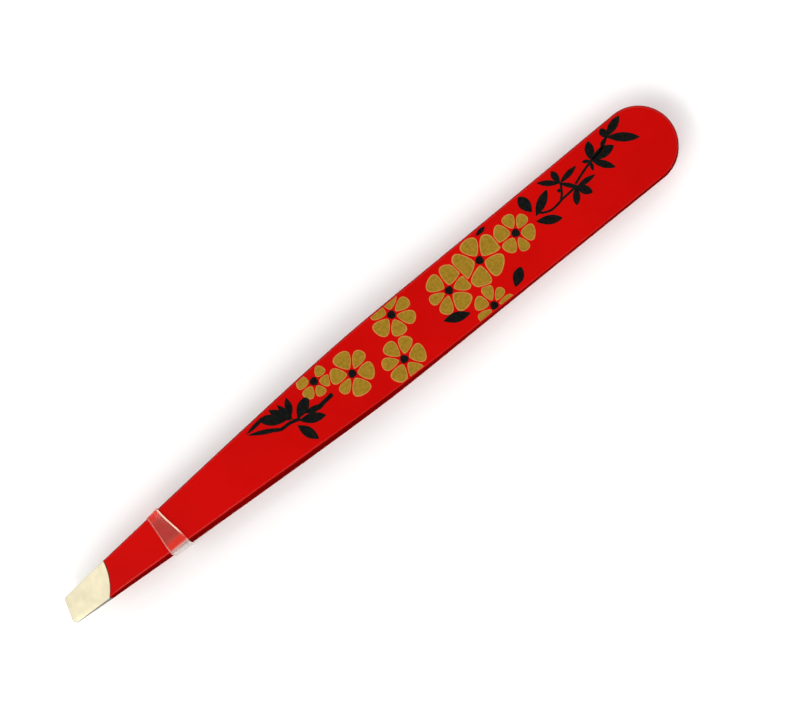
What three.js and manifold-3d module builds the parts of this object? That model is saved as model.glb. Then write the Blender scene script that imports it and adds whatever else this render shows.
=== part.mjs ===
// Slant tweezers: two spring-steel arms welded together at the heel and held closed by a clear band.
// Millimetres. +X runs from the slanted tips to the round heel, +Y across the arms, +Z up through them.
// X = 0 and Y = 0 are the middle of the plan, and Z = 0 is the surface under the bowed lower arm.

import * as THREE from 'three';
import { mergeVertices } from 'three/addons/utils/BufferGeometryUtils.js';
import Module from 'manifold-3d';

// Plan of one arm. "Behind" is always the distance behind the foremost corner of the tip.
const LENGTH = 95;
const TIP_HALF_WIDTH = 1.6;
const TAPER = 0.064;               // half width gained for each millimetre behind the tip
const BODY_HALF_WIDTH = 4.36;      // half width of the body if it ran on to the tip
const BODY_TAPER = 0.006;
const SHOULDER_BLEND = 0.3;        // softness of the change from taper to body
const HEEL_RADIUS = 4.9;
const SLANT = THREE.MathUtils.degToRad(18.8);          // gripping edge, from square across
const CORNER_TRIM = THREE.MathUtils.degToRad(-38);     // small face that breaks the foremost corner
const CORNER_TRIM_START = 0.35;    // where that face meets the -Y side, behind the corner

// Side view of one arm, measured from the plane between the arms
const THICKNESS = 1.1;
const BOW = 2.4;                   // largest half gap between the closed arms
const BELLY = 30;                  // where the bow is largest, behind the tip
const WELD_START = 74;             // the arms lie parallel from here to the heel
const WELD_GAP = 0.1;              // half gap along the welded heel
const TIP_GAP = 0.03;              // half gap between the closed tips
const TIP_LAND = 1.2;              // length of the faces that meet at the tip
const EDGE_THICKNESS = 0.3;        // steel left at the gripping edge
const BEVEL = THREE.MathUtils.degToRad(14.5);      // ground face, from the plane between the arms
const EDGE_BREAK = 0.25;           // chamfer along the outer edges
const INNER_BREAK = 0.12;

// Spot welds, as distances behind the tip
const WELDS = { weld_front: 79, weld_rear: 87.5 };
const WELD_RADIUS = 1.5;

// Clear band
const BAND_FRONT = 14.8;
const BAND_WIDTH = 2.5;
const BAND_WALL = 0.22;
const BAND_CLEARANCE = 0.05;
const BAND_CORNER = 0.45;          // radius of its outside corners
const BAND_CORNER_STEPS = 3;

const STATION_STEP = 2.25;
const HEEL_STEPS = 10;
const CUTTER = 40;                 // side of the blocks that grind the tip

const wasm = await Module();
wasm.setup();

const ENAMEL = { color: 0xc00d04, roughness: 0.28, metalness: 0 };
const WELD_STEEL = { color: 0x8a8884, roughness: 0.45, metalness: 1 };
const CLEAR_PLASTIC = { color: 0xf6e6de, roughness: 0.12, metalness: 0, transparent: true, opacity: 0.35 };

// ---- geometry helpers ----

// Joins rings of equal length into a closed skin. The rings run anticlockwise seen from the last ring.
// An open run of rings is capped at both ends, and a wrapped run closes on its own first ring.
function skin(rings, wrapped) {
  const count = rings[0].length;
  const index = [];
  const spans = wrapped ? rings.length : rings.length - 1;
  for (let ring = 0; ring < spans; ring++) {
    const near = ring * count;
    const far = ((ring + 1) % rings.length) * count;
    for (let i = 0; i < count; i++) {
      const next = (i + 1) % count;
      index.push(near + i, near + next, far + next);
      index.push(near + i, far + next, far + i);
    }
  }
  if (!wrapped) {
    const last = spans * count;
    for (let i = 1; i < count - 1; i++) {
      index.push(0, i + 1, i);
      index.push(last, last + i, last + i + 1);
    }
  }
  const geometry = new THREE.BufferGeometry().setFromPoints(rings.flat());
  geometry.setIndex(index);
  return geometry;
}

function solidFrom(geometry) {
  const bare = geometry.clone();
  bare.deleteAttribute('normal');
  bare.deleteAttribute('uv');
  const merged = mergeVertices(bare, 1e-5);
  return new wasm.Manifold(new wasm.Mesh({
    numProp: 3,
    vertProperties: Float32Array.from(merged.attributes.position.array),
    triVerts: Uint32Array.from(merged.index.array),
  }));
}

function geometryFrom(solid) {
  const result = solid.getMesh();
  const geometry = new THREE.BufferGeometry();
  geometry.setAttribute('position', new THREE.BufferAttribute(result.vertProperties, 3));
  geometry.setIndex(new THREE.BufferAttribute(result.triVerts, 1));
  return geometry;
}

function part(name, geometry, finish) {
  geometry.computeVertexNormals();
  const mesh = new THREE.Mesh(geometry, new THREE.MeshStandardMaterial(finish));
  mesh.name = name;
  return mesh;
}

// ---- shape of an arm ----

function halfWidth(behind) {
  const taper = TIP_HALF_WIDTH + TAPER * behind;
  const body = BODY_HALF_WIDTH + BODY_TAPER * behind;
  const side = (taper + body - Math.hypot(taper - body, SHOULDER_BLEND)) / 2;
  const intoHeel = Math.max(0, behind - (LENGTH - HEEL_RADIUS)) / HEEL_RADIUS;
  return side * Math.sqrt(Math.max(0, 1 - intoHeel ** 2));
}

// The arms touch at the tips, bow apart to the belly and close again on the welded heel.
function halfGap(behind) {
  if (behind < BELLY) {
    const run = Math.max(0, behind - TIP_LAND) / (BELLY - TIP_LAND);
    return TIP_GAP + (BOW - TIP_GAP) * Math.sin(run * Math.PI / 2);
  }
  const run = Math.min(1, (behind - BELLY) / (WELD_START - BELLY));
  return WELD_GAP + (BOW - WELD_GAP) * (1 + Math.cos(run * Math.PI)) / 2;
}

// Distances behind the tip at which the arm's section is drawn, closer together round the heel
function stations() {
  const straight = LENGTH - HEEL_RADIUS;
  const steps = Math.round((straight - TIP_LAND) / STATION_STEP);
  const along = [0];
  for (let i = 0; i <= steps; i++) along.push(TIP_LAND + (straight - TIP_LAND) * i / steps);
  for (let i = 1; i < HEEL_STEPS; i++) {
    along.push(straight + HEEL_RADIUS * Math.sin(i / HEEL_STEPS * Math.PI / 2));
  }
  return along;
}

// An eight-sided section: flat faces, with a wider chamfer on the outside than on the inside.
function armSection(behind, side) {
  const half = halfWidth(behind);
  const inner = halfGap(behind);
  const outer = inner + THICKNESS;
  const outline = [
    [half - INNER_BREAK, inner],
    [half, inner + INNER_BREAK],
    [half, outer - EDGE_BREAK],
    [half - EDGE_BREAK, outer],
  ];
  const mirrored = outline.map(([y, z]) => [-y, z]).reverse();
  const ring = [...outline, ...mirrored].map(([y, z]) => new THREE.Vector3(behind, y, side * z));
  return side > 0 ? ring : ring.reverse();
}

// A block whose lower face passes through the foremost corner of the tip, along the gripping edge.
// Tilted back by the bevel angle it grinds the outside of the tip.
function bevelBlock(side) {
  const block = new THREE.BoxGeometry(CUTTER, CUTTER, CUTTER);
  block.translate(0, 0, side * CUTTER / 2);
  block.rotateY(-side * BEVEL);
  block.rotateZ(-SLANT);
  block.translate(0, -TIP_HALF_WIDTH, side * (TIP_GAP + EDGE_THICKNESS));
  return solidFrom(block);
}

// A block that takes off everything ahead of an upright plane through one point of the plan.
function trimBlock(angle, behind, across) {
  const block = new THREE.BoxGeometry(CUTTER, CUTTER, CUTTER);
  block.translate(-CUTTER / 2, 0, 0);
  block.rotateZ(-angle);
  block.translate(behind, across, 0);
  return solidFrom(block);
}

function arm(name, side) {
  const rings = stations().map((behind) => armSection(behind, side));
  const ground = solidFrom(skin(rings, false))
    .subtract(trimBlock(SLANT, 0, -TIP_HALF_WIDTH))
    .subtract(trimBlock(CORNER_TRIM, CORNER_TRIM_START, -TIP_HALF_WIDTH))
    .subtract(bevelBlock(side));
  return part(name, geometryFrom(ground), ENAMEL);
}

// ---- welds and band ----

function weld(name, behind) {
  const nugget = new THREE.CylinderGeometry(WELD_RADIUS, WELD_RADIUS, 2 * WELD_GAP, 20);
  nugget.rotateX(Math.PI / 2);
  nugget.translate(behind, 0, 0);
  return part(name, nugget, WELD_STEEL);
}

// A rounded rectangle round both arms at one place, standing off them by a gap.
// Its corner is rounder the further out it is, so that the wall is equally thick all round.
function bandRing(behind, standOff) {
  const halfAcross = halfWidth(behind) + standOff;
  const halfUp = halfGap(behind) + THICKNESS + standOff;
  const corner = BAND_CORNER - (BAND_CLEARANCE + BAND_WALL - standOff);
  const ring = [];
  for (let quarter = 0; quarter < 4; quarter++) {
    const toY = quarter === 0 || quarter === 3 ? 1 : -1;
    const toZ = quarter < 2 ? 1 : -1;
    for (let step = 0; step <= BAND_CORNER_STEPS; step++) {
      const angle = (quarter + step / BAND_CORNER_STEPS) * Math.PI / 2;
      const y = toY * (halfAcross - corner) + corner * Math.cos(angle);
      const z = toZ * (halfUp - corner) + corner * Math.sin(angle);
      ring.push(new THREE.Vector3(behind, y, z));
    }
  }
  return ring;
}

function clearBand() {
  const rear = BAND_FRONT + BAND_WIDTH;
  const inside = BAND_CLEARANCE;
  const outside = BAND_CLEARANCE + BAND_WALL;
  const rings = [
    bandRing(BAND_FRONT, outside),
    bandRing(rear, outside),
    bandRing(rear, inside),
    bandRing(BAND_FRONT, inside),
  ];
  return part('clear_band', skin(rings, true), CLEAR_PLASTIC);
}

// ---- assembly ----

const tweezers = new THREE.Group();
tweezers.add(arm('upper_arm', 1));
tweezers.add(arm('lower_arm', -1));
for (const [name, behind] of Object.entries(WELDS)) tweezers.add(weld(name, behind));
tweezers.add(clearBand());
tweezers.position.set(-LENGTH / 2, 0, BOW + THICKNESS);

export default tweezers;
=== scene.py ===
"""Slant tweezers: enamelled steel arms, printed ornament and a clear band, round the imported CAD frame.

Lengths are in millimetres in the shape functions and become metres when a vertex is made. "Behind" is always
the distance behind the foremost corner of the tip, "across" is the row's Y, and heights are measured from
the plane between the two arms.
"""

import math
import random

import bmesh
import bpy
from mathutils import Matrix, Vector


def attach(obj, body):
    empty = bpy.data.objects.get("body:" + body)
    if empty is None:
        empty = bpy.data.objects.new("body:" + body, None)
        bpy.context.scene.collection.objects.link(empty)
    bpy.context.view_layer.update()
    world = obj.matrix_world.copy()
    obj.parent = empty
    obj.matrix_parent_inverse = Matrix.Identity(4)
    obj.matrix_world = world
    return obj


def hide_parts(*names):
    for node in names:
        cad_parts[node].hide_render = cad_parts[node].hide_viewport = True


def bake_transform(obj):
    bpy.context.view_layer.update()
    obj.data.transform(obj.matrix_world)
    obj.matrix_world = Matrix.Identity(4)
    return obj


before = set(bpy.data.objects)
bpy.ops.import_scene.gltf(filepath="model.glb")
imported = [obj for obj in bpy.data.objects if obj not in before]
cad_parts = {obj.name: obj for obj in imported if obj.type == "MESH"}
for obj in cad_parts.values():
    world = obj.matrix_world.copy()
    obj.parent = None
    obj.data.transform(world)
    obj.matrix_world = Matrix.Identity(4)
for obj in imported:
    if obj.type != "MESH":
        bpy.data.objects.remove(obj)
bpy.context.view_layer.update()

MM = 0.001

# ---- driving dimensions, the same as the CAD model's ----

LENGTH = 95.0
TIP_HALF_WIDTH = 1.6
TAPER = 0.064                  # half width gained for each millimetre behind the tip
BODY_HALF_WIDTH = 4.36         # half width of the body if it ran on to the tip
BODY_TAPER = 0.006
SHOULDER_BLEND = 0.3           # softness of the change from taper to body
HEEL_RADIUS = 4.9
SLANT = math.radians(18.8)     # gripping edge, from square across

THICKNESS = 1.1
BOW = 2.4                      # largest half gap between the closed arms
BELLY = 30.0                   # where the bow is largest
WELD_START = 74.0              # the arms lie parallel from here to the heel
WELD_GAP = 0.1                 # half gap along the welded heel
TIP_GAP = 0.03                 # half gap between the closed tips
TIP_LAND = 1.2                 # length of the faces that meet at the tip
EDGE_THICKNESS = 0.3           # steel left at the gripping edge
MID_HEIGHT = BOW + THICKNESS   # height above the ground of the plane between the arms

BAND_CLEARANCE = 0.05

# ---- finish dimensions ----

PAINT_LINE = (5.5, 7.7)        # where the enamel starts at the -Y and +Y edges
PAINT_CURVE = 0.35             # how far the middle of that line bulges towards the heel
ENAMEL_FILM = 0.03
ENAMEL_ROUND = 0.30            # radius of the outer edges under enamel
STEEL_ROUND = 0.05             # radius of the ground edges
INNER_ROUND = 0.10
INK = 0.018                    # height of the print above the enamel


# ---- shape of an arm ----

def half_width(behind):
    taper = TIP_HALF_WIDTH + TAPER * behind
    body = BODY_HALF_WIDTH + BODY_TAPER * behind
    return (taper + body - math.hypot(taper - body, SHOULDER_BLEND)) / 2


def half_gap(behind):
    if behind < BELLY:
        run = max(0.0, behind - TIP_LAND) / (BELLY - TIP_LAND)
        return TIP_GAP + (BOW - TIP_GAP) * math.sin(run * math.pi / 2)
    run = min(1.0, (behind - BELLY) / (WELD_START - BELLY))
    return WELD_GAP + (BOW - WELD_GAP) * (1 + math.cos(run * math.pi)) / 2


def outer_height(behind):
    return half_gap(behind) + THICKNESS


def row_point(behind, across, height):
    """A point of the shape functions' millimetres as a vertex in the row frame's metres."""
    return Vector(((behind - LENGTH / 2) * MM, across * MM, (MID_HEIGHT + height) * MM))


def lerp(a, b, t):
    return a + (b - a) * t


def smooth(t):
    t = min(1.0, max(0.0, t))
    return t * t * (3 - 2 * t)


class ArmGrid:
    """Rows run from the slanted tip to the round heel, columns from the -Y edge to the +Y edge."""

    # Columns across, then the rows of each stretch and where it ends behind the tip. The bare tip ends at the
    # paint line and the heel at its round end.
    COLUMNS = 30
    BARE_ROWS = 12
    NECK_ROWS = 14
    NECK_END = 16.0
    STRAIGHT_ROWS = 62
    STRAIGHT_END = 84.0
    HEEL_ROWS = 12
    PAINT_EDGE = 0.15          # width of the enamel's edge along the paint line, coloured dark as painted shade
    ROUNDING_ROWS = 3          # rows over which the edges change from steel's rounding to enamel's
    FOREMOST_START = 0.55      # the foremost corner is rounded off from this share of the half width
    FOREMOST_CUT = 0.45        # and this far back
    FAR_START = 0.8            # the far corner is eased from this share of the half width
    FAR_CUT = 0.08

    def __init__(self):
        self.paint_row = self.BARE_ROWS
        self.neck_row = self.paint_row + 1 + self.NECK_ROWS
        self.straight_row = self.neck_row + self.STRAIGHT_ROWS
        self.last_row = self.straight_row + self.HEEL_ROWS
        self.share = [math.sin(math.pi * (c / self.COLUMNS - 0.5)) for c in range(self.COLUMNS + 1)]

    def tip_line(self, v, inset):
        """The slanted gripping edge, with a rounded foremost corner and a lightly eased far corner."""
        foremost = max(0.0, (-v - self.FOREMOST_START) / (1 - self.FOREMOST_START))
        far = max(0.0, (v - self.FAR_START) / (1 - self.FAR_START))
        edge = math.tan(SLANT) * TIP_HALF_WIDTH * (1 + v)
        cut = self.FOREMOST_CUT * foremost ** 2 + self.FAR_CUT * far ** 2
        return edge + cut + inset / math.cos(SLANT)

    def paint_line(self, v):
        near, far = PAINT_LINE
        return lerp(near, far, (v + 1) / 2) + PAINT_CURVE * (1 - v * v)

    def heel_line(self, v, inset):
        return LENGTH - HEEL_RADIUS + (HEEL_RADIUS - inset) * math.sqrt(max(0.0, 1 - v * v))

    def behind(self, row, v, inset):
        if row <= self.paint_row:
            return lerp(self.tip_line(v, inset), self.paint_line(v), row / self.paint_row)
        painted = self.paint_line(v) + self.PAINT_EDGE
        if row <= self.neck_row:
            return lerp(painted, self.NECK_END, (row - self.paint_row - 1) / self.NECK_ROWS)
        if row <= self.straight_row:
            return lerp(self.NECK_END, self.STRAIGHT_END, (row - self.neck_row) / self.STRAIGHT_ROWS)
        t = (row - self.straight_row) / self.HEEL_ROWS
        return lerp(self.STRAIGHT_END, self.heel_line(v, inset), t)

    def edge_round(self, row):
        painted = smooth((row - self.paint_row) / self.ROUNDING_ROWS)
        return lerp(STEEL_ROUND, ENAMEL_ROUND, painted)

    def outer(self, row, v, inset):
        """Behind, across and outer height of a grid point. The bare tip is one flat ground face."""
        behind = self.behind(row, v, inset)
        across = v * (half_width(behind) - inset)
        if row > self.paint_row:
            return behind, across, outer_height(behind) + ENAMEL_FILM
        at_edge = TIP_GAP + EDGE_THICKNESS
        at_paint = outer_height(self.paint_line(v))
        return behind, across, lerp(at_edge, at_paint, row / self.paint_row)

    def rim(self):
        """The border's grid places in order, anticlockwise seen from outside the upper arm."""
        last_column = self.COLUMNS
        tip = [(0, c) for c in range(last_column, 0, -1)]
        near = [(r, 0) for r in range(self.last_row)]
        heel = [(self.last_row, c) for c in range(last_column)]
        far = [(r, last_column) for r in range(self.last_row, 0, -1)]
        return tip + near + heel + far


EDGE_STEPS = 5
INNER_STEPS = 2
SIDE_RING = 2                  # the sides and inside, darkened with painted shade, start this many steps down the outer edge
ENAMEL, STEEL, PAINTED_SHADE_RIM, ENAMEL_PAINTED_SHADE, STEEL_PAINTED_SHADE = range(5)     # an arm's material slots
ARM_SHARP_DEGREES = 42


def arm_rings(grid, row, v):
    """(inset, height) of each ring between the outer face's border and the inner face's border."""
    radius = grid.edge_round(row)
    rings = []
    for step in range(1, EDGE_STEPS + 1):
        angle = math.pi / 2 * step / EDGE_STEPS
        inset = radius * (1 - math.sin(angle))
        rings.append((inset, grid.outer(row, v, inset)[2] - radius * (1 - math.cos(angle))))
    inner_round = min(INNER_ROUND, radius)
    for step in range(INNER_STEPS + 1):
        angle = math.pi / 2 * step / INNER_STEPS
        inset = inner_round * (1 - math.cos(angle))
        behind = grid.outer(row, v, inset)[0]
        rings.append((inset, half_gap(behind) + inner_round * (1 - math.sin(angle))))
    return rings


def build_arm(name, side, materials):
    """One arm as a closed mesh. side is 1 for the upper arm and -1 for the lower."""
    grid = ArmGrid()
    mesh = bmesh.new()

    def vertex(row, column, inset, height=None):
        behind, across, outer = grid.outer(row, grid.share[column], inset)
        return mesh.verts.new(row_point(behind, across, side * (outer if height is None else height)))

    def face(corners, rows, shade_painted=False):
        """The rows tell steel from enamel. Shaded faces, those of the sides and the inside, take darker
        finishes with painted shade.
        """
        made = mesh.faces.new(corners if side > 0 else corners[::-1])
        made.smooth = True
        if max(rows) <= grid.paint_row:
            made.material_index = STEEL_PAINTED_SHADE if shade_painted else STEEL
        elif min(rows) <= grid.paint_row:
            made.material_index = PAINTED_SHADE_RIM
        else:
            made.material_index = ENAMEL_PAINTED_SHADE if shade_painted else ENAMEL

    rows, columns = range(grid.last_row + 1), range(grid.COLUMNS + 1)
    top = {(r, c): vertex(r, c, grid.edge_round(r)) for r in rows for c in columns}
    bottom = {}
    for r in rows:
        inset = min(INNER_ROUND, grid.edge_round(r))
        for c in columns:
            behind = grid.outer(r, grid.share[c], inset)[0]
            bottom[r, c] = vertex(r, c, inset, half_gap(behind))
    for r in rows[:-1]:
        for c in columns[:-1]:
            near, far = (r, c), (r + 1, c)
            near_next, far_next = (r, c + 1), (r + 1, c + 1)
            face([top[near], top[far], top[far_next], top[near_next]], (r, r + 1))
            face([bottom[near], bottom[near_next], bottom[far_next], bottom[far]], (r, r + 1), True)

    rim = grid.rim()
    loops = [[top[place] for place in rim]]
    profiles = [arm_rings(grid, r, grid.share[c]) for r, c in rim]
    for ring in range(len(profiles[0]) - 1):
        loops.append([vertex(r, c, *profile[ring]) for (r, c), profile in zip(rim, profiles)])
    loops.append([bottom[place] for place in rim])
    for number, (upper, lower) in enumerate(zip(loops, loops[1:])):
        shade_painted = number >= SIDE_RING
        for i in range(len(rim)):
            j = (i + 1) % len(rim)
            face([upper[i], lower[i], lower[j], upper[j]], (rim[i][0], rim[j][0]), shade_painted)

    return finish_mesh(mesh, name, materials, ARM_SHARP_DEGREES, {ENAMEL, PAINTED_SHADE_RIM})


def finish_mesh(mesh, name, materials, sharp_degrees=30, hard_border=None):
    """Makes a bmesh into an object, with outward normals.

    Edges are hard where the surface turns sharply, and where the two material slots of hard_border meet.
    """
    bmesh.ops.recalc_face_normals(mesh, faces=mesh.faces)
    limit = math.radians(sharp_degrees)
    for edge in mesh.edges:
        slots = {face.material_index for face in edge.link_faces}
        edge.smooth = edge.calc_face_angle(0) < limit and slots != hard_border
    data = bpy.data.meshes.new(name)
    mesh.to_mesh(data)
    mesh.free()
    for material in materials:
        data.materials.append(material)
    piece = bpy.data.objects.new(name, data)
    bpy.context.scene.collection.objects.link(piece)
    return piece


# ---- printed ornament ----

FACE_MARGIN = 0.26             # the print stops this far short of the arm's edge
INK_RINGS = (1.0, 0.9, 0.6, 0.3)     # a patch's rings, as shares of the way from its middle to its outline
INK_SHOULDER = 0.35            # share of the ink's height along its outline

GOLD_GAP = 0.14                # enamel left showing between two petals
PETAL_POINTS = 30
PETAL_SEED = 11
PETAL_WIDTHS = (0.8, 1.2)      # range of the petals' shares of a flower
PETAL_REACHES = (0.9, 1.06)    # range of their lengths
PETAL_END_POWER = 3.2          # the higher, the squarer a petal's outer end
PETAL_FOOT_POWER = 8           # the higher, the squarer its inner end
SMALLEST_PETAL = 0.7           # petals cut down to less than this many square millimetres are left out

EYE_RING = 0.66                # where the petals start, from the middle of a flower
EYE_RADIUS = 0.52
EYE_POINTS = 20
EYE_WAVE = 0.06                # unevenness of a flower's centre, as a share of its radius
EYE_WAVES = 3                  # number of bulges round it

LEAF_POINTS = 28
POINTED_POWER = 0.9            # side curve of a pointed leaf
BLUNT_POWER = 0.6              # side curve of a blunt one
BLUNT_SKEW = 1.4               # moves a blunt leaf's widest place towards its tip

STEM_STEPS = 12
STEM_END = 0.55                # width of a stem's ends, as a share of its width
STEM_FLAT = 0.6                # share of a stem's width that is at full height

# Leaves and stems take turns at slightly different heights, so that crossing ones seldom share a surface.
LEAF_LAYERS = 5
LEAF_LAYER_STEP = 0.12
STEM_BASE = 0.7
STEM_LAYER_STEP = 0.06

# Each flower: behind, across, reach, petals, turn in degrees
FLOWERS = [
    (41.4, 2.6, 2.2, 6, -5),
    (45.6, 0.4, 3.0, 6, 6),
    (51.6, -2.2, 2.9, 6, 20),
    (53.8, 3.0, 2.9, 6, 30),
    (61.1, 0.9, 3.0, 6, 15),
    (64.2, -4.0, 2.6, 7, 5),
    (66.3, 1.4, 3.2, 5, 54),
    (71.8, 1.2, 2.65, 6, 0),
]

# Each leaf: foot behind, foot across, tip behind, tip across, width, roundness of its end
LEAVES = [
    # lower sprig
    (37.0, 0.3, 39.7, 1.7, 1.45, 0.3),
    (37.0, 0.0, 40.0, -1.5, 1.3, 0.2),
    (36.5, -0.3, 37.5, -3.2, 1.3, 0.2),
    (36.6, 1.0, 37.5, 3.2, 0.95, 0.2),
    (36.5, 0.6, 36.1, 3.2, 0.8, 0.2),
    (36.3, 0.7, 34.9, 3.35, 1.1, 0.3),
    (35.9, 1.0, 33.2, 3.2, 1.4, 0.5),
    (35.0, 0.5, 31.0, 2.6, 0.62, 0.0),
    (34.4, 3.1, 30.9, 2.75, 0.5, 0.0),
    (37.9, 0.4, 40.6, -0.4, 0.8, 0.6),
    # single leaves beside the flowers
    (58.2, -1.6, 61.4, -2.9, 1.3, 0.1),
    (67.6, -3.9, 69.7, -2.4, 1.4, 0.5),
    (67.8, 4.0, 69.4, 4.2, 0.6, 0.5),
    # upper sprig
    (74.95, 1.9, 74.8, 4.4, 1.5, 0.6),
    (75.0, 1.2, 78.1, 2.9, 1.2, 0.2),
    (74.6, 0.7, 77.4, -1.0, 1.2, 0.3),
    (79.8, 2.5, 77.6, 4.3, 0.75, 0.2),
    (79.8, 2.5, 79.9, 4.3, 0.95, 0.7),
    (79.8, 2.5, 82.7, 2.9, 0.75, 0.1),
    (79.6, 2.7, 81.4, 0.5, 0.6, 0.5),
    (81.0, 1.0, 82.2, -0.9, 1.15, 0.6),
    (81.0, 0.8, 83.8, 0.6, 0.7, 0.1),
    (81.1, 0.9, 79.7, -0.9, 0.95, 0.6),
    (84.5, 2.2, 85.7, 4.3, 1.2, 0.4),
    (84.5, 2.2, 86.3, -0.3, 0.95, 0.2),
    (84.5, 2.3, 87.8, 1.9, 1.4, 0.4),
    (84.5, 2.2, 83.5, 2.8, 0.5, 0.5),
    (84.4, 2.2, 83.9, 1.1, 0.5, 0.6),
    (87.7, 3.3, 90.6, 4.3, 1.1, 0.3),
    (87.7, 3.3, 90.9, 0.7, 1.2, 0.2),
    (87.6, 3.2, 87.9, 4.5, 1.0, 0.7),
    (87.7, 3.3, 86.4, 2.7, 0.6, 0.5),
    (78.9, 2.0, 79.4, 1.7, 0.5, 0.6),
]

# Each stem: width, then its points as (behind, across)
STEMS = [
    (0.54, [(38.8, -0.1), (40.4, -0.15), (42.2, 0.0)]),
    (0.44, [(37.3, 0.1), (36.0, 0.5), (34.6, 0.6), (33.4, 1.4)]),
    (0.30, [(75.6, 1.2), (77.0, 0.6), (79.0, 0.8), (81.0, 0.9)]),
    (0.30, [(78.6, 0.8), (79.3, 1.5), (79.9, 2.5)]),
    (0.30, [(81.2, 1.2), (83.0, 1.8), (84.6, 2.2)]),
    (0.30, [(84.6, 2.2), (86.3, 2.5), (87.8, 3.3)]),
]


def on_face(behind, across):
    """Keeps a printed point on the flat of the upper face."""
    limit = half_width(behind) - FACE_MARGIN
    return behind, min(limit, max(-limit, across))


def ink_point(behind, across, lift):
    return row_point(behind, across, outer_height(behind) + ENAMEL_FILM + lift)


def add_patch(mesh, outline, middle, rim_index=0, ink=INK):
    """A thin closed patch of ink over the arm's curved face. All of its outline is in sight of its middle."""
    loops = []
    for number, share in enumerate(INK_RINGS):
        lift = ink * (INK_SHOULDER if number == 0 else 1.0)
        points = [(lerp(middle[0], b, share), lerp(middle[1], a, share)) for b, a in outline]
        loops.append([mesh.verts.new(ink_point(b, a, lift)) for b, a in points])
    foot = [mesh.verts.new(ink_point(b, a, -INK)) for b, a in outline]
    centre = mesh.verts.new(ink_point(*middle, ink))
    under = mesh.verts.new(ink_point(*middle, -INK))
    count = len(outline)
    for i in range(count):
        j = (i + 1) % count
        for number, (outside, inside) in enumerate(zip([foot] + loops, loops)):
            made = mesh.faces.new([outside[i], outside[j], inside[j], inside[i]])
            made.material_index = rim_index if number <= 1 else 0
        mesh.faces.new([loops[-1][i], loops[-1][j], centre])
        mesh.faces.new([foot[j], foot[i], under])


def petal_outline(flower, others, direction, reach, spread):
    """A fan-shaped petal that leaves a line of enamel beside its neighbours and beside the next flowers."""
    behind, across = flower[0], flower[1]
    sides = []
    steps = PETAL_POINTS // 2
    gap = GOLD_GAP / 2 / math.cos(spread / 2)
    for step in range(steps + 1):
        t = 0.5 - 0.5 * math.cos(math.pi * step / steps)
        radius = lerp(EYE_RING, reach, t)
        half = radius * math.tan(spread / 2) - gap
        rounding = (1 - t ** PETAL_END_POWER) * (1 - (1 - t) ** PETAL_FOOT_POWER)
        sides.append((radius, half * math.sqrt(max(0.0, rounding))))
    outline = [(r, h) for r, h in sides] + [(r, -h) for r, h in sides[-2:0:-1]]
    points = []
    for radius, half in outline:
        x = radius * math.cos(direction) - half * math.sin(direction)
        y = radius * math.sin(direction) + half * math.cos(direction)
        shrink = 1.0
        for other in others:
            dx, dy = other[0] - behind, other[1] - across
            apart = math.hypot(dx, dy)
            # The border between two flowers is where circles of their reaches cross.
            border = (apart ** 2 + flower[2] ** 2 - other[2] ** 2) / 2 - GOLD_GAP / 2 * apart
            towards = x * dx + y * dy
            if towards > border:
                shrink = min(shrink, border / towards)
        points.append(on_face(behind + x * shrink, across + y * shrink))
    return points


def centre_of(points):
    return sum(p[0] for p in points) / len(points), sum(p[1] for p in points) / len(points)


def area_of(points):
    wrapped = zip(points, points[1:] + points[:1])
    return abs(sum(a[0] * b[1] - b[0] * a[1] for a, b in wrapped)) / 2


def leaf_outline(foot_behind, foot_across, tip_behind, tip_across, width, blunt):
    """A leaf between its foot and its tip. A blunt one is fuller towards the tip."""
    dx, dy = tip_behind - foot_behind, tip_across - foot_across
    steps = LEAF_POINTS // 2
    profile = []
    for step in range(steps + 1):
        t = 0.5 - 0.5 * math.cos(math.pi * step / steps)
        pointed = max(0.0, math.sin(math.pi * t)) ** POINTED_POWER
        full = max(0.0, math.sin(math.pi * t ** BLUNT_SKEW)) ** BLUNT_POWER
        profile.append((t, width / 2 * lerp(pointed, full, blunt)))
    length = math.hypot(dx, dy)
    side_x, side_y = -dy / length, dx / length
    points = []
    for t, half in profile + [(t, -half) for t, half in profile[-2:0:-1]]:
        points.append(on_face(foot_behind + dx * t + side_x * half, foot_across + dy * t + side_y * half))
    return points


def smooth_line(points, steps):
    """Points along a smooth curve through the given ones."""
    line = []
    for i in range(steps + 1):
        t = i / steps * (len(points) - 1)
        part = min(int(t), len(points) - 2)
        before = points[max(0, part - 1)]
        here, there = points[part], points[part + 1]
        after = points[min(len(points) - 1, part + 2)]
        t -= part
        line.append(tuple(
            0.5 * (2 * here[k] + (there[k] - before[k]) * t
                   + (2 * before[k] - 5 * here[k] + 4 * there[k] - after[k]) * t * t
                   + (3 * here[k] - before[k] - 3 * there[k] + after[k]) * t ** 3)
            for k in (0, 1)))
    return line


def add_stem(mesh, width, points, ink):
    """A drawn line with slightly narrower ends, as a closed strip of ink."""
    line = smooth_line(points, STEM_STEPS)
    shoulder = INK_SHOULDER * ink
    half_section = [(1, -ink), (1, shoulder), (STEM_FLAT, ink)]
    outline = half_section + [(-side, lift) for side, lift in reversed(half_section)]
    count = len(outline)
    sections = []
    for i, (behind, across) in enumerate(line):
        ahead, back = line[min(i + 1, STEM_STEPS)], line[max(i - 1, 0)]
        run = Vector((ahead[0] - back[0], ahead[1] - back[1])).normalized()
        half = width / 2 * (1 if 0 < i < STEM_STEPS else STEM_END)
        section = []
        for side, lift in outline:
            b, a = on_face(behind - run.y * half * side, across + run.x * half * side)
            section.append(mesh.verts.new(ink_point(b, a, lift)))
        sections.append(section)
    for near, far in zip(sections, sections[1:]):
        for k in range(count):
            mesh.faces.new([near[k], near[(k + 1) % count], far[(k + 1) % count], far[k]])
    mesh.faces.new(sections[0])
    mesh.faces.new(sections[-1][::-1])


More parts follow.
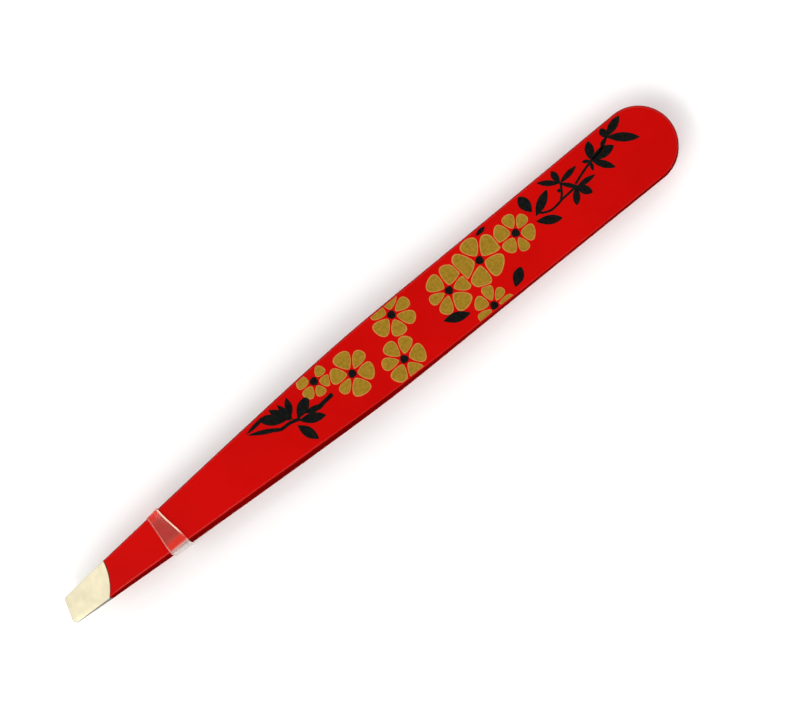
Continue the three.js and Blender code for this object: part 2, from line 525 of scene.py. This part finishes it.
def build_gold(materials):
    mesh = bmesh.new()
    wobble = random.Random(PETAL_SEED)
    for number, flower in enumerate(FLOWERS):
        _, _, reach, petals, turn = flower
        others = FLOWERS[:number] + FLOWERS[number + 1:]
        shares = [wobble.uniform(*PETAL_WIDTHS) for _ in range(petals)]
        direction = math.radians(turn)
        for share in shares:
            spread = math.tau * share / sum(shares)
            direction += spread / 2
            length = reach * wobble.uniform(*PETAL_REACHES)
            outline = petal_outline(flower, others, direction, length, spread)
            if area_of(outline) > SMALLEST_PETAL:
                add_patch(mesh, outline, centre_of(outline), rim_index=1)
            direction += spread / 2
    return finish_mesh(mesh, "gold_print", materials)


def build_black(materials):
    mesh = bmesh.new()
    for behind, across, _, _, _ in FLOWERS:
        outline = []
        for k in range(EYE_POINTS):
            angle = math.tau * k / EYE_POINTS
            radius = EYE_RADIUS * (1 + EYE_WAVE * math.cos(EYE_WAVES * angle + behind))
            outline.append(on_face(behind + radius * math.cos(angle), across + radius * math.sin(angle)))
        add_patch(mesh, outline, centre_of(outline))
    for number, leaf in enumerate(LEAVES):
        outline = leaf_outline(*leaf)
        layer = 1 + LEAF_LAYER_STEP * (number % LEAF_LAYERS)
        add_patch(mesh, outline, centre_of(outline), ink=INK * layer)
    for number, (width, points) in enumerate(STEMS):
        add_stem(mesh, width, points, ink=INK * (STEM_BASE + STEM_LAYER_STEP * number))
    return finish_mesh(mesh, "black_print", materials)


# ---- clear band ----

BAND_NEAR = (14.75, 15.1)      # tip-side cut edge at the -Y and +Y sides
BAND_FAR = (17.5, 16.9)        # heel-side cut edge at the -Y and +Y sides
BAND_WALL = 0.18
BAND_LIP = 0.05                # the heel-side edge turns out by this much
BAND_PULL = 0.03               # at +Y it fits closer than elsewhere
BAND_THINNING = 0.5            # share of the wall lost at +Y
BAND_CORNER = 0.42
BAND_RIM = 0.2                 # length of each cut edge's zone, brighter with painted highlight and glow
BAND_REACH = 3.1               # half the width over which the band's painted glow, highlights and shade are spread
BAND_CORNER_STEPS = 8
BAND_SIDE_STEPS = 10
BAND_SHARP_DEGREES = 60
TUBE, CUT_NEAR, CUT_FAR = range(3)     # the band's material slots


def band_section(behind, stand_off):
    """Across and height of each point of a rounded rectangle round both arms."""
    half_across = half_width(behind) + stand_off
    half_up = outer_height(behind) + ENAMEL_FILM + stand_off
    corner = BAND_CORNER - BAND_WALL + stand_off
    points = []
    for quarter in range(4):
        to_y = 1 if quarter in (0, 3) else -1
        to_z = 1 if quarter < 2 else -1
        middle = (to_y * (half_across - corner), to_z * (half_up - corner))
        for step in range(BAND_CORNER_STEPS + 1):
            angle = (quarter + step / BAND_CORNER_STEPS) * math.pi / 2
            points.append((middle[0] + corner * math.cos(angle), middle[1] + corner * math.sin(angle)))
        start = points[-1]
        turn_y = -1 if quarter in (0, 1) else 1
        if quarter % 2 == 0:
            end = (turn_y * (half_across - corner), start[1])
        else:
            end = (start[0], -to_z * (half_up - corner))
        for step in range(1, BAND_SIDE_STEPS):
            t = step / BAND_SIDE_STEPS
            points.append((lerp(start[0], end[0], t), lerp(start[1], end[1], t)))
    return points


def build_band(materials):
    """A hand-cut slice of clear tube: closed round the arms, narrower at +Y, with cut edges brightened by
    painted highlights.
    """
    wall = BAND_WALL
    # The wall's section, from the tip-side edge along the outside and back along the inside:
    # (share of the width, offset in mm along the arms, stand-off from the arms, material slot)
    profile = [
        (0, 0.00, 0.5 * wall, CUT_NEAR),
        (0, 0.03, 0.85 * wall, CUT_NEAR),
        (0, 0.09, wall, CUT_NEAR),
        (0, BAND_RIM, wall, TUBE),
        (0.35, 0, 0.96 * wall, TUBE),
        (0.65, 0, 0.96 * wall, TUBE),
        (1, -BAND_RIM, wall + 0.3 * BAND_LIP, CUT_FAR),
        (1, -0.1, wall + BAND_LIP, CUT_FAR),
        (1, -0.03, wall + 0.8 * BAND_LIP, CUT_FAR),
        (1, 0.00, 0.6 * wall + BAND_LIP, CUT_FAR),
        (1, -0.02, 0.25 * wall, CUT_FAR),
        (1, -0.08, 0.0, TUBE),
        (0.65, 0, 0.0, TUBE),
        (0.35, 0, 0.0, TUBE),
        (0, 0.08, 0.0, CUT_NEAR),
        (0, 0.02, 0.15 * wall, CUT_NEAR),
    ]
    mesh = bmesh.new()
    loops = []
    for share, offset, stand_off, _ in profile:
        middle = lerp(sum(BAND_NEAR) / 2, sum(BAND_FAR) / 2, share)
        loop = []
        for across, height in band_section(middle, BAND_CLEARANCE + stand_off):
            side = smooth((across / half_width(middle) + 1) / 2)
            near, far = lerp(*BAND_NEAR, side), lerp(*BAND_FAR, side)
            behind = lerp(near, far, share) + offset
            grown = half_width(behind) - half_width(middle)
            risen = outer_height(behind) - outer_height(middle)
            # The section was drawn at the middle of the edge, so it grows or shrinks to fit the arms here.
            across += math.copysign(grown, across) * min(1, abs(across))
            across -= (BAND_PULL + BAND_THINNING * stand_off) * side
            height += math.copysign(risen, height) * min(1, abs(height))
            loop.append(mesh.verts.new(row_point(behind, across, height)))
        loops.append(loop)
    count = len(loops[0])
    for number, loop in enumerate(loops):
        following = loops[(number + 1) % len(loops)]
        for i in range(count):
            j = (i + 1) % count
            made = mesh.faces.new([loop[i], loop[j], following[j], following[i]])
            made.smooth = True
            made.material_index = profile[number][3]
    return finish_mesh(mesh, "clear_band_tube", materials, BAND_SHARP_DEGREES, {TUBE, CUT_FAR})


# ---- materials ----

NOISE_LOW, NOISE_HIGH = 0.3, 0.7     # nearly all of a noise lies between these
PATCHINESS = (0.85, 1.15)      # how much the plastic's haze varies
GLARE_BLEND = 0.2              # how closely the glare keeps to edge-on faces
GLARE_START, GLARE_END = 0.3, 0.75     # how edge-on a face is where its glare begins, and where it is full

HAZE = (0.29, 0.205, 0.17)
PAINTED_RED_GLOW = (0.92, 0.07, 0.045)        # painted glow: the arms' red, as if gathered where the plastic bends round their edges
# painted glow of the arms' red along the tip-side cut edge
PAINTED_RED_EDGE_GLOW = (0.76, 0.14, 0.11)
# painted highlight along the heel-side cut edge
PAINTED_PEACH_HIGHLIGHT = (0.96, 0.66, 0.48)


class Shader:
    """A Principled material with a few short ways to add procedural detail."""

    def __init__(self, name, **sockets):
        self.material = bpy.data.materials.new(name)
        self.material.use_nodes = True
        self.tree = self.material.node_tree
        self.surface = self.tree.nodes["Principled BSDF"]
        for socket, value in sockets.items():
            self.surface.inputs[socket.replace("_", " ")].default_value = value
        self.place = self.tree.nodes.new("ShaderNodeTexCoord").outputs["Object"]

    def node(self, kind, inputs=(), **settings):
        made = self.tree.nodes.new(kind)
        for setting, value in settings.items():
            setattr(made, setting, value)
        for socket, value in dict(inputs).items():
            if isinstance(value, bpy.types.NodeSocket):
                self.tree.links.new(value, made.inputs[socket])
            else:
                made.inputs[socket].default_value = value
        return made

    def noise(self, size_mm, detail=3.0, stretch=(1, 1, 1)):
        """Noise with features of about size_mm, drawn out along an axis by stretch."""
        scale = tuple(1 / (size_mm * MM * s) for s in stretch)
        place = self.node("ShaderNodeMapping", {"Vector": self.place, "Scale": scale})
        inputs = {"Vector": place.outputs[0], "Scale": 1.0, "Detail": detail}
        return self.node("ShaderNodeTexNoise", inputs).outputs["Fac"]

    def between(self, value, low, high):
        """Maps noise round its middle onto the range low to high."""
        inputs = {
            "Value": value, "From Min": NOISE_LOW, "From Max": NOISE_HIGH, "To Min": low, "To Max": high,
        }
        return self.node("ShaderNodeMapRange", inputs).outputs["Result"]

    def colours(self, value, *stops):
        """A colour ramp: stops are (place, (r, g, b))."""
        ramp = self.node("ShaderNodeValToRGB", {"Fac": value})
        elements = ramp.color_ramp.elements
        while len(elements) < len(stops):
            elements.new(0.5)
        for element, (place, colour) in zip(elements, stops):
            element.position = place
            element.color = (*colour, 1)
        return ramp.outputs["Color"]

    def mottle(self, noise, dark, light):
        """Colours the surface between dark and light by a noise."""
        self.set("Base Color", self.colours(noise, (NOISE_LOW, dark), (NOISE_HIGH, light)))

    def set(self, socket, output):
        self.tree.links.new(output, self.surface.inputs[socket])

    def bump(self, height, depth_mm, strength=1.0):
        inputs = {"Height": height, "Distance": depth_mm * MM, "Strength": strength}
        self.set("Normal", self.node("ShaderNodeBump", inputs).outputs["Normal"])


def enamel_material(name, dark, light, gloss):
    shader = Shader(name, Coat_Weight=gloss, Coat_Roughness=0.06, Specular_IOR_Level=0.1 * gloss)
    tone = shader.noise(9.0, detail=2.0)
    shader.set("Base Color", shader.colours(tone, (0.35, dark), (0.65, light)))
    shader.set("Roughness", shader.between(shader.noise(1.2), 0.40, 0.52))
    shader.bump(shader.noise(0.55, detail=2.0), 0.0012)
    return shader.material


# The enamel's edge along the paint line, dark with painted shade at the crease next to the ground steel.
def enamel_edge_material():
    shader = Shader("enamel_edge_painted_shade", Roughness=0.6, Specular_IOR_Level=0.1)
    shader.mottle(shader.noise(0.5), (0.05, 0.010, 0.007), (0.10, 0.014, 0.009))
    shader.bump(shader.noise(0.2), 0.01)
    return shader.material


def ground_steel_material():
    shader = Shader("ground_steel", Metallic=0.9)
    shader.mottle(shader.noise(1.3), (0.54, 0.495, 0.355), (0.63, 0.575, 0.41))
    marks = shader.noise(0.07, detail=4.0, stretch=(1, 14, 14))
    shader.set("Roughness", shader.between(marks, 0.48, 0.60))
    shader.bump(marks, 0.0012)
    return shader.material


def dull_steel_material(name, dark, light):
    shader = Shader(name, Metallic=0.8)
    shader.mottle(shader.noise(0.6), dark, light)
    shader.set("Roughness", shader.between(shader.noise(0.2), 0.4, 0.6))
    return shader.material


def gold_material(name, dark, light):
    shader = Shader(name, Metallic=0.15, Specular_IOR_Level=0.15)
    grain = shader.noise(0.35, detail=4.0)
    shader.mottle(grain, dark, light)
    shader.set("Roughness", shader.between(shader.noise(0.12), 0.42, 0.6))
    shader.bump(grain, 0.006)
    return shader.material


def black_material():
    shader = Shader("black_print", Specular_IOR_Level=0.03)
    grain = shader.noise(0.4)
    shader.mottle(grain, (0.002, 0.0025, 0.002), (0.007, 0.008, 0.007))
    shader.set("Roughness", shader.between(shader.noise(0.15), 0.45, 0.6))
    shader.bump(grain, 0.004)
    return shader.material


def clear_material(name, roughness, glare, *stops):
    """Hazy clear plastic whose colour across the arms is painted light and shade. Stops are (mm across the
    arms from -Y to +Y, colour, cover).
    """
    shader = Shader(name, Roughness=roughness, IOR=1.53, Specular_IOR_Level=0.6)
    across = shader.node("ShaderNodeSeparateXYZ", {"Vector": shader.place}).outputs["Y"]
    reach = {"Value": across, "From Min": -BAND_REACH * MM, "From Max": BAND_REACH * MM}
    share = shader.node("ShaderNodeMapRange", reach).outputs["Result"]
    places = [(mm / BAND_REACH + 1) / 2 for mm, _, _ in stops]
    shader.set("Base Color", shader.colours(share, *zip(places, [colour for _, colour, _ in stops])))
    haze = shader.colours(share, *zip(places, [(cover, cover, cover) for _, _, cover in stops]))
    patchy = shader.between(shader.noise(0.9, detail=2.0), *PATCHINESS)
    haze = shader.node("ShaderNodeMath", {0: haze, 1: patchy}, operation="MULTIPLY").outputs[0]
    edge_on = shader.node("ShaderNodeLayerWeight", {"Blend": GLARE_BLEND}).outputs["Facing"]
    shine = {"Value": edge_on, "From Min": GLARE_START, "From Max": GLARE_END, "To Max": glare}
    shine = shader.node("ShaderNodeMapRange", shine).outputs["Result"]
    both = shader.node("ShaderNodeMath", {0: haze, 1: shine}, operation="ADD", use_clamp=True)
    shader.set("Alpha", both.outputs[0])
    return shader.material


def arm_materials():
    """In the order of the arm's material slots."""
    return [
        enamel_material("red_enamel", (0.435, 0.0008, 0.0002), (0.475, 0.0011, 0.0003), 0.3),
        ground_steel_material(),
        # the enamel's edge at the paint line, dark with painted shade
        enamel_edge_material(),
        # the sides and inside: darker copies of the enamel and the steel, with painted shade
        enamel_material("red_enamel_painted_shade", (0.16, 0.001, 0.0005), (0.21, 0.0015, 0.0008), 0.0),
        dull_steel_material("steel_painted_shade", (0.16, 0.145, 0.125), (0.24, 0.22, 0.19)),
    ]


def gold_materials():
    """The petals and their rims."""
    return [
        gold_material("gold_print", (0.22, 0.130, 0.005), (0.33, 0.185, 0.012)),
        gold_material("gold_rim", (0.42, 0.17, 0.03), (0.50, 0.22, 0.05)),
    ]


def band_materials():
    """In the order of the band's material slots."""
    return [
        # Painted light and shade across each part: the arms' red glowing where the plastic bends round their
        # edges, highlights along the cut edges and a greyer, shaded -Y side.
        clear_material(
            "clear_plastic", 0.12, 0.75,
            (-2.9, (0.42, 0.40, 0.38), 0.14), (-2.55, (0.78, 0.52, 0.46), 0.30), (-2.25, PAINTED_RED_GLOW, 0.32),
            (-1.7, PAINTED_RED_GLOW, 0.30), (-0.9, HAZE, 0.10), (1.2, HAZE, 0.10), (2.2, PAINTED_RED_GLOW, 0.28),
            (2.6, PAINTED_RED_GLOW, 0.32), (2.9, (0.60, 0.12, 0.08), 0.25),
        ),
        clear_material(
            "clear_cut_near_painted_glow", 0.18, 0.5,
            (-2.6, (0.60, 0.30, 0.26), 0.5), (0, PAINTED_RED_EDGE_GLOW, 0.36), (2.6, PAINTED_RED_EDGE_GLOW, 0.36),
        ),
        clear_material(
            "clear_cut_far_painted_highlight", 0.18, 0.75,
            (-2.6, (0.55, 0.42, 0.36), 0.6), (-2.2, PAINTED_RED_GLOW, 0.3), (-1.6, (0.90, 0.30, 0.20), 0.4),
            (-0.9, PAINTED_PEACH_HIGHLIGHT, 0.75), (2.5, PAINTED_PEACH_HIGHLIGHT, 0.75), (2.9, PAINTED_RED_GLOW, 0.4),
        ),
    ]


# ---- stage ----

CAMERA_TILT = math.radians(5.0)      # towards the -Y edges
CAMERA_ROLL = math.radians(39.3)     # the arms run this far above the frame's horizontal
VIEW_WIDTH = 96.27                   # width of the frame at the plane between the arms
VIEW_RIGHT = 3.30                    # the middle of the frame, from the middle of the arms
VIEW_UP = 0.89
LENS = 250.0
SENSOR = 36.0

# Each light: name, position and size in metres, watts, colour
LIGHTS = [
    ("key", (-0.30, -0.36, 0.66), (0.6, 0.6), 1.5, (1.0, 0.99, 0.97)),
    ("fill", (0.42, 0.34, 0.55), (0.7, 0.7), 0.7, (0.98, 0.99, 1.0)),
    ("tip_light", (-0.42, -0.05, 0.60), (0.6, 0.30), 1.8, (1.0, 0.98, 0.94)),
]

# The surroundings are bright all round and dark overhead, so that the upper arm reflects little and stays
# deep red. Each is (how high in the sky from 0 to 1, brightness).
SKY_BRIGHT = (0.68, 0.90)
SKY_DARK = (0.93, 0.05)
SKY_STRENGTH = 1.4

# Floor, in metres. It lies just under the enamel of the lower arm.
FLOOR_RADIUS = 3.0
FLOOR_HEIGHT = -0.00004
FLOOR_RINGS = 24
FLOOR_SPOKES = 64


def place_camera():
    roll_right = Vector((1, 0, 0))
    towards = Vector((0, -math.sin(CAMERA_TILT), math.cos(CAMERA_TILT)))
    roll_up = towards.cross(roll_right)
    right = math.cos(CAMERA_ROLL) * roll_right - math.sin(CAMERA_ROLL) * roll_up
    up = math.sin(CAMERA_ROLL) * roll_right + math.cos(CAMERA_ROLL) * roll_up
    middle = Vector((0, 0, MID_HEIGHT)) + VIEW_RIGHT * right + VIEW_UP * up
    distance = VIEW_WIDTH * LENS / SENSOR
    data = bpy.data.cameras.new("camera")
    data.lens = LENS
    data.sensor_width = SENSOR
    data.clip_start = 0.01
    data.clip_end = 20
    camera = bpy.data.objects.new("camera", data)
    axes = Matrix((right, up, towards)).transposed().to_4x4()
    camera.matrix_world = Matrix.Translation((middle + towards * distance) * MM) @ axes
    bpy.context.scene.collection.objects.link(camera)
    bpy.context.scene.camera = camera


def area_light(name, position, size, energy, colour):
    """A soft light aimed at the middle of the arms."""
    data = bpy.data.lights.new(name, "AREA")
    data.shape = "RECTANGLE"
    data.size, data.size_y = size
    data.energy = energy
    data.color = colour
    light = bpy.data.objects.new(name, data)
    light.location = position
    light.rotation_euler = (-Vector(position)).to_track_quat("-Z", "Y").to_euler()
    bpy.context.scene.collection.objects.link(light)


def light_scene():
    for light in LIGHTS:
        area_light(*light)
    world = bpy.data.worlds.new("soft_room")
    bpy.context.scene.world = world
    world.use_nodes = True
    tree = world.node_tree
    background = tree.nodes["Background"]
    place = tree.nodes.new("ShaderNodeTexCoord")
    split = tree.nodes.new("ShaderNodeSeparateXYZ")
    ramp = tree.nodes.new("ShaderNodeValToRGB")
    tree.links.new(place.outputs["Generated"], split.inputs[0])
    tree.links.new(split.outputs["Z"], ramp.inputs["Fac"])
    tree.links.new(ramp.outputs["Color"], background.inputs["Color"])
    for element, (height, grey) in zip(ramp.color_ramp.elements, (SKY_BRIGHT, SKY_DARK)):
        element.position = height
        element.color = (grey, grey, grey, 1)
    background.inputs["Strength"].default_value = SKY_STRENGTH


def build_floor():
    """A wide flat pale disc, finer towards the middle."""
    mesh = bmesh.new()
    loops = []
    for ring in range(1, FLOOR_RINGS + 1):
        radius = FLOOR_RADIUS * (ring / FLOOR_RINGS) ** 2
        loop = []
        for s in range(FLOOR_SPOKES):
            angle = math.tau * s / FLOOR_SPOKES
            loop.append(mesh.verts.new((radius * math.cos(angle), radius * math.sin(angle), FLOOR_HEIGHT)))
        loops.append(loop)
    middle = mesh.verts.new((0, 0, FLOOR_HEIGHT))
    for s in range(FLOOR_SPOKES):
        after = (s + 1) % FLOOR_SPOKES
        mesh.faces.new([middle, loops[0][s], loops[0][after]])
        for inside, outside in zip(loops, loops[1:]):
            mesh.faces.new([inside[s], outside[s], outside[after], inside[after]])
    shader = Shader("floor_paper", Roughness=0.9, Specular_IOR_Level=0.1)
    shader.mottle(shader.noise(30.0, detail=2.0), (0.93, 0.93, 0.93), (0.95, 0.95, 0.95))
    finish_mesh(mesh, "floor", [shader.material])


# ---- assembly ----

bpy.context.scene.view_settings.view_transform = "Standard"
place_camera()

arm_finishes = arm_materials()
for node, side in (("upper_arm", 1), ("lower_arm", -1)):
    arm = build_arm(node + "_steel", side, arm_finishes)
    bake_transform(arm)
    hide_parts(node)

gold = build_gold(gold_materials())
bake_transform(gold)

black = build_black([black_material()])
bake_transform(black)

band = build_band(band_materials())
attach(band, "band")
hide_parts("clear_band")

weld = dull_steel_material("weld_steel", (0.30, 0.26, 0.24), (0.55, 0.50, 0.44))
for node in ("weld_front", "weld_rear"):
    for material_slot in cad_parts[node].material_slots:
        material_slot.material = weld

light_scene()
build_floor()
